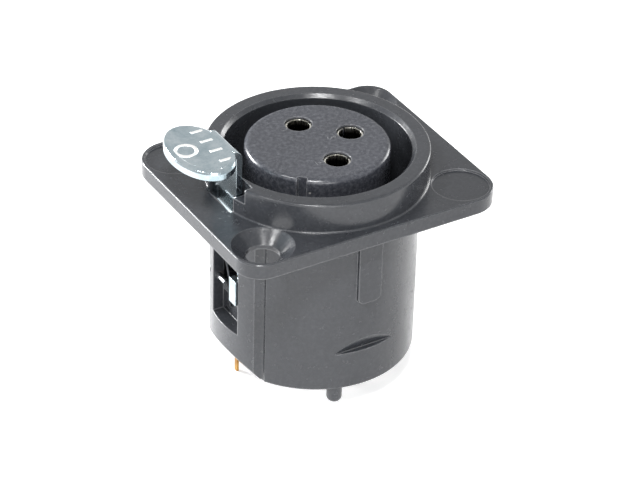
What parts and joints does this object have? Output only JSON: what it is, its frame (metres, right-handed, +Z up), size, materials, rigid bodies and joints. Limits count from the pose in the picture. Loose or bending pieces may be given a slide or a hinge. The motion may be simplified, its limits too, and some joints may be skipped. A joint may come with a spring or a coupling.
{
  "type": "xlr panel socket",
  "caption": "Three-pole XLR panel socket in a D-size flange, with a push latch and board tails",
  "frame": {"origin": "on the barrel's axis at the flange's back face, where the panel lies, midway between the two screw holes", "axes": "Z up out of the mouth; the latch is on the -X side and the third contact on the +X side; the flange is longest along X"},
  "size_m": [0.0329, 0.026, 0.0313],
  "materials": {
    "black_plastic": "satin moulding",
    "insert_plastic": "satin moulding",
    "tinned_contact": "tin-plated copper alloy",
    "brass_strap": "bare brass",
    "nickel_sheet": "nickel-plated steel sheet",
    "bright_steel": "drawn",
    "spring_steel": "drawn wire"
  },
  "bodies": {
    "body": {"housing": "black_plastic", "contact_insert": "insert_plastic", "rear_cover": "insert_plastic", "contact_1": "tinned_contact", "contact_2": "tinned_contact", "contact_3": "tinned_contact", "ground_contact": "brass_strap", "latch_pin": "bright_steel", "latch_spring": "spring_steel"},
    "lever": {"latch_lever": "nickel_sheet"}
  },
  "joints": [
    {"name": "latch_hinge", "type": "hinge", "parent": "body", "child": "lever", "pos_m": [-0.0103, 0, -0.00985], "axis": [0, -1, 0], "range_deg": [0, 3], "stiffness_Nm_per_rad": 0.02, "springref_deg": -171.89, "deforming": ["latch_spring"]}
  ]
}
